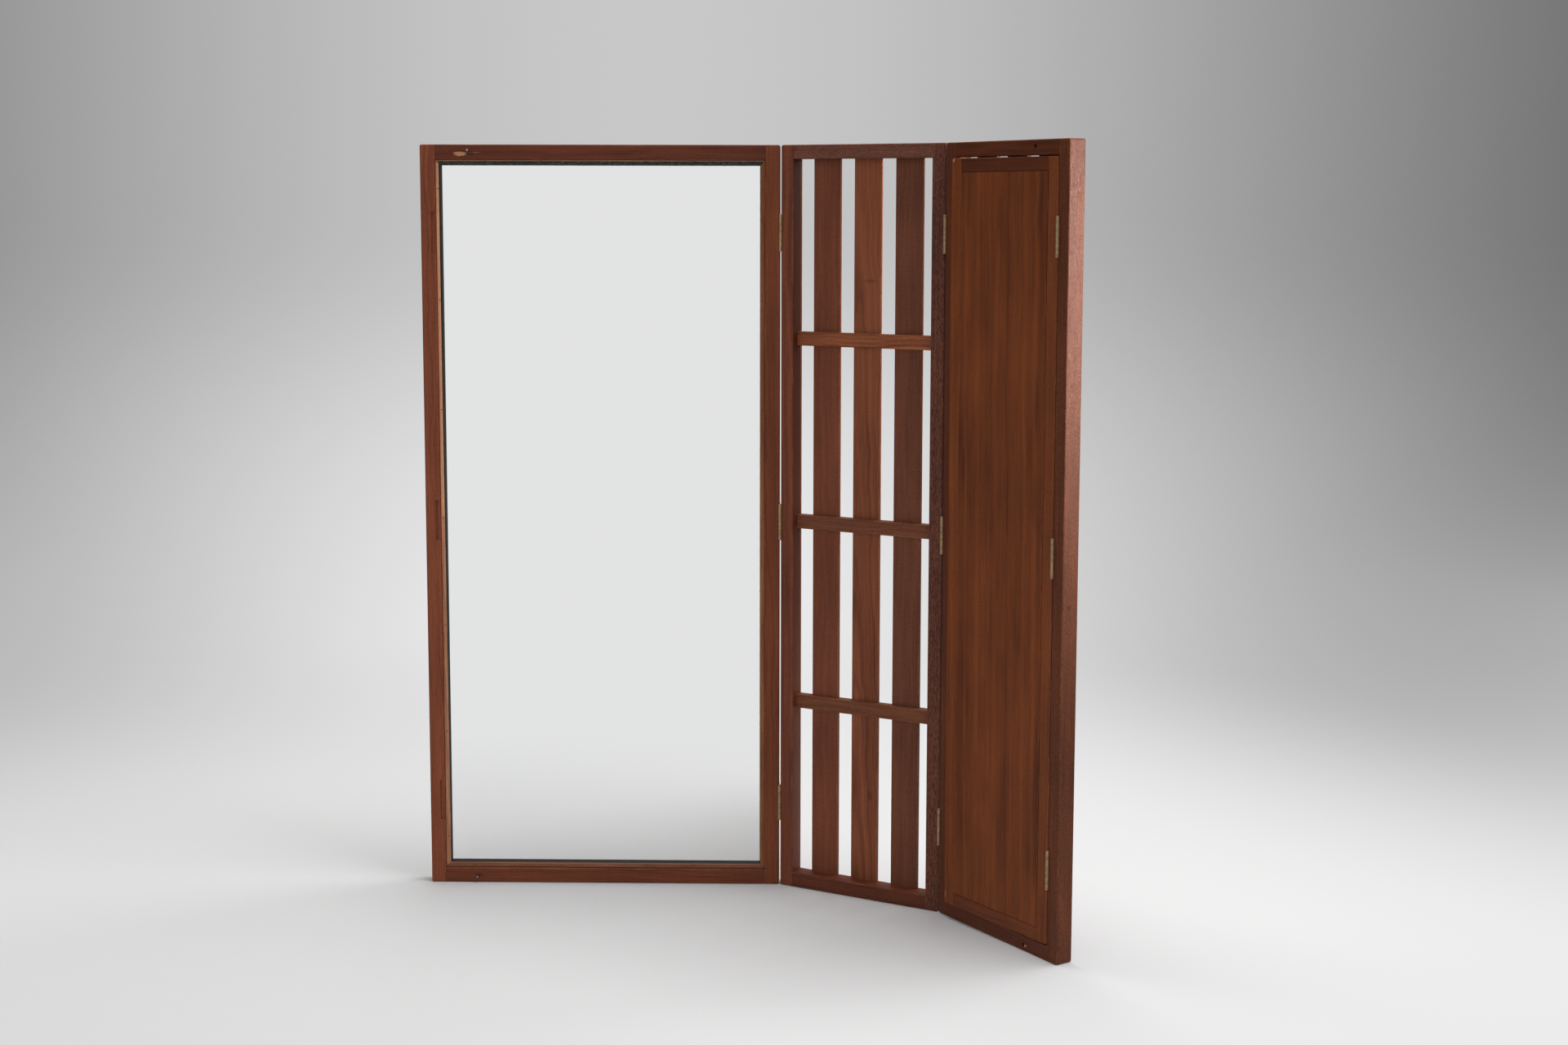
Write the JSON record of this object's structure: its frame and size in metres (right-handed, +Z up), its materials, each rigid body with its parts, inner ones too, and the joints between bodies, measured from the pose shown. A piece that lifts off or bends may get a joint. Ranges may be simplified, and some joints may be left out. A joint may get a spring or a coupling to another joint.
{
  "type": "folding shutter mirror",
  "caption": "Tall teak-framed mirror with folding slatted shutters on one side and a narrow mirror door hinged in the outer shutter.",
  "frame": {"origin": "on the floor, under the middle of the mirror panel's bottom rail, at mid-width and mid-thickness", "axes": "+Z up, +X towards the shutters along the mirror panel, +Y to the back of the mirror panel"},
  "size_m": [0.8388, 0.3328, 1],
  "materials": {
    "stile_teak": "oiled teak, satin",
    "rail_teak": "oiled teak, satin",
    "crossbar_teak": "oiled teak, satin",
    "slat_teak": "oiled teak, satin",
    "door_teak": "oiled teak, satin",
    "glazing_bead": "pale worn wood",
    "back_veneer": "veneered board, satin",
    "door_veneer": "veneered board, satin",
    "mirror_glass": "silvered glass",
    "hinge_brass": "dull aged brass",
    "pin_steel": "dull steel"
  },
  "bodies": {
    "mirror_panel": {"mirror_left_stile": "stile_teak", "mirror_right_stile": "stile_teak", "mirror_top_rail": "rail_teak", "mirror_bottom_rail": "rail_teak", "mirror_back_panel": "back_veneer", "mirror_glass": "mirror_glass", "bead_bottom": "glazing_bead", "bead_right": "glazing_bead", "bead_top": "glazing_bead", "bead_left": "glazing_bead", "locating_pin_top": "pin_steel", "locating_pin_bottom": "pin_steel", "inner_hinge_top_pinned_leaf": "hinge_brass", "inner_hinge_middle_pinned_leaf": "hinge_brass", "inner_hinge_bottom_pinned_leaf": "hinge_brass"},
    "middle_shutter": {"middle_left_stile": "stile_teak", "middle_right_stile": "stile_teak", "middle_top_rail": "rail_teak", "middle_bottom_rail": "rail_teak", "middle_crossbar_bottom": "crossbar_teak", "middle_crossbar_centre": "crossbar_teak", "middle_crossbar_top": "crossbar_teak", "middle_slat_left": "slat_teak", "middle_slat_centre": "slat_teak", "middle_slat_right": "slat_teak", "inner_hinge_top_swinging_leaf": "hinge_brass", "inner_hinge_middle_swinging_leaf": "hinge_brass", "inner_hinge_bottom_swinging_leaf": "hinge_brass", "outer_hinge_top_pinned_leaf": "hinge_brass", "outer_hinge_middle_pinned_leaf": "hinge_brass", "outer_hinge_bottom_pinned_leaf": "hinge_brass"},
    "outer_shutter": {"outer_left_stile": "stile_teak", "outer_right_stile": "stile_teak", "outer_top_rail": "rail_teak", "outer_bottom_rail": "rail_teak", "outer_crossbar_bottom": "crossbar_teak", "outer_crossbar_centre": "crossbar_teak", "outer_crossbar_top": "crossbar_teak", "outer_slat_left": "slat_teak", "outer_slat_centre": "slat_teak", "outer_slat_right": "slat_teak", "outer_hinge_top_swinging_leaf": "hinge_brass", "outer_hinge_middle_swinging_leaf": "hinge_brass", "outer_hinge_bottom_swinging_leaf": "hinge_brass", "door_hinge_top_pinned_leaf": "hinge_brass", "door_hinge_middle_pinned_leaf": "hinge_brass", "door_hinge_bottom_pinned_leaf": "hinge_brass"},
    "mirror_door": {"door_free_stile": "door_teak", "door_hinge_stile": "door_teak", "door_top_rail": "rail_teak", "door_bottom_rail": "rail_teak", "door_glass": "mirror_glass", "door_panel": "door_veneer", "door_hinge_top_swinging_leaf": "hinge_brass", "door_hinge_middle_swinging_leaf": "hinge_brass", "door_hinge_bottom_swinging_leaf": "hinge_brass"}
  },
  "joints": [
    {"name": "middle_shutter_fold", "type": "hinge", "parent": "mirror_panel", "child": "middle_shutter", "pos_m": [0.238, -0.01305, 0.5], "axis": [0, 0, -1], "range_deg": [-28, 112]},
    {"name": "outer_shutter_fold", "type": "hinge", "parent": "middle_shutter", "child": "outer_shutter", "pos_m": [0.44814, -0.12478, 0.5], "axis": [0, 0, -1], "range_deg": [-28, 27]},
    {"name": "door_swing", "type": "hinge", "parent": "outer_shutter", "child": "mirror_door", "pos_m": [0.57032, -0.30593, 0.5], "axis": [0, 0, 1], "range_deg": [-1.8, 178.2]}
  ]
}
